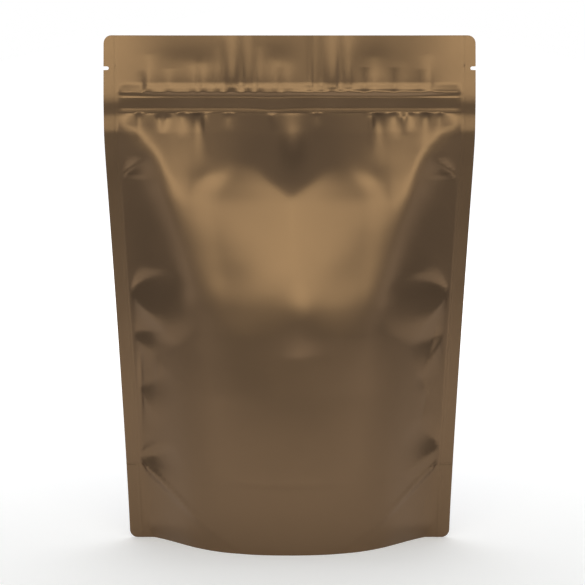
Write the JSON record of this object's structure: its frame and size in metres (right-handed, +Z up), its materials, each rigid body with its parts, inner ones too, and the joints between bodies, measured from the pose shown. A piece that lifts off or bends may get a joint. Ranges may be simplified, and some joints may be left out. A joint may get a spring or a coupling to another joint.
{
  "type": "stand-up pouch",
  "caption": "Filled stand-up pouch of matte metallised film with a zipper header, tear notches, welded sides and an opened base gusset.",
  "frame": {"origin": "middle of the base, on the floor that the pouch stands on", "axes": "+Z up the pouch, +X across its width, front panel facing -Y"},
  "size_m": [0.19, 0.0826, 0.26],
  "materials": {
    "film": "matte bronze metallised film, softly reflecting, with fine grain and heat-sealed edges"
  },
  "bodies": {
    "root": {"pouch": "film"}
  },
  "joints": []
}
